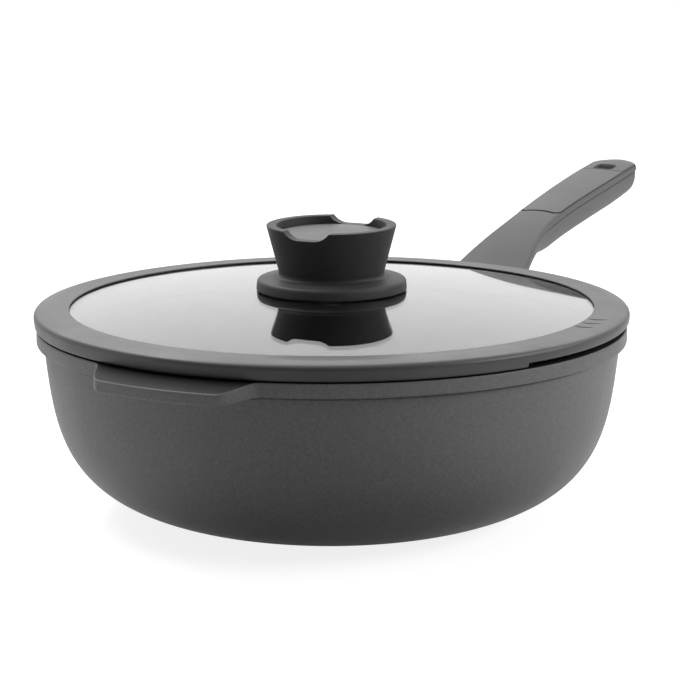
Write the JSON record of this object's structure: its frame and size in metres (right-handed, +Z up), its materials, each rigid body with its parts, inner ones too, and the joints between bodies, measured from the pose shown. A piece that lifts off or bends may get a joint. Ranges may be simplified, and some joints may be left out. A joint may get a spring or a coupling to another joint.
{
  "type": "wok with lid",
  "caption": "Deep cast wok with a long padded handle, a front helper lug and a lift-off domed glass lid with a soft strainer rim and a flared spoon-rest knob.",
  "frame": {"origin": "centre of the steel base plate on the surface the wok stands on", "axes": "+Z up along the wok's axis, +X from the axis toward the handle's tip, -X toward the front lug, -Y toward the strainer slot"},
  "size_m": [0.4813, 0.2908, 0.1419],
  "materials": {
    "coated_aluminium": "matte dark grey non-stick coating, finely grained",
    "base_steel": "turned steel",
    "handle_shell": "matte dark grey",
    "handle_pad": "soft-touch grey",
    "fasteners": "plain steel",
    "lid_glass": "clear toughened glass",
    "lid_silicone": "matte grey silicone",
    "knob_shell": "satin black",
    "knob_cap": "matte dark grey",
    "insert_brass": "plain"
  },
  "bodies": {
    "wok": {"wok_body": "coated_aluminium", "induction_plate": "base_steel", "handle_upper": "handle_shell", "handle_lower": "handle_shell", "handle_inlay": "handle_pad", "handle_screw": "fasteners", "handle_washer": "fasteners"},
    "lid": {"lid_glass": "lid_glass", "lid_ring": "lid_silicone", "knob_collar": "knob_shell", "knob_body": "knob_shell", "knob_cap": "knob_cap", "knob_insert": "insert_brass", "knob_screw": "fasteners", "knob_washer": "fasteners", "knob_seal": "lid_silicone"}
  },
  "joints": [
    {"name": "lid_lift", "type": "slide", "parent": "wok", "child": "lid", "axis": [0, 0, 1], "range_m": [0, 0.15]}
  ]
}
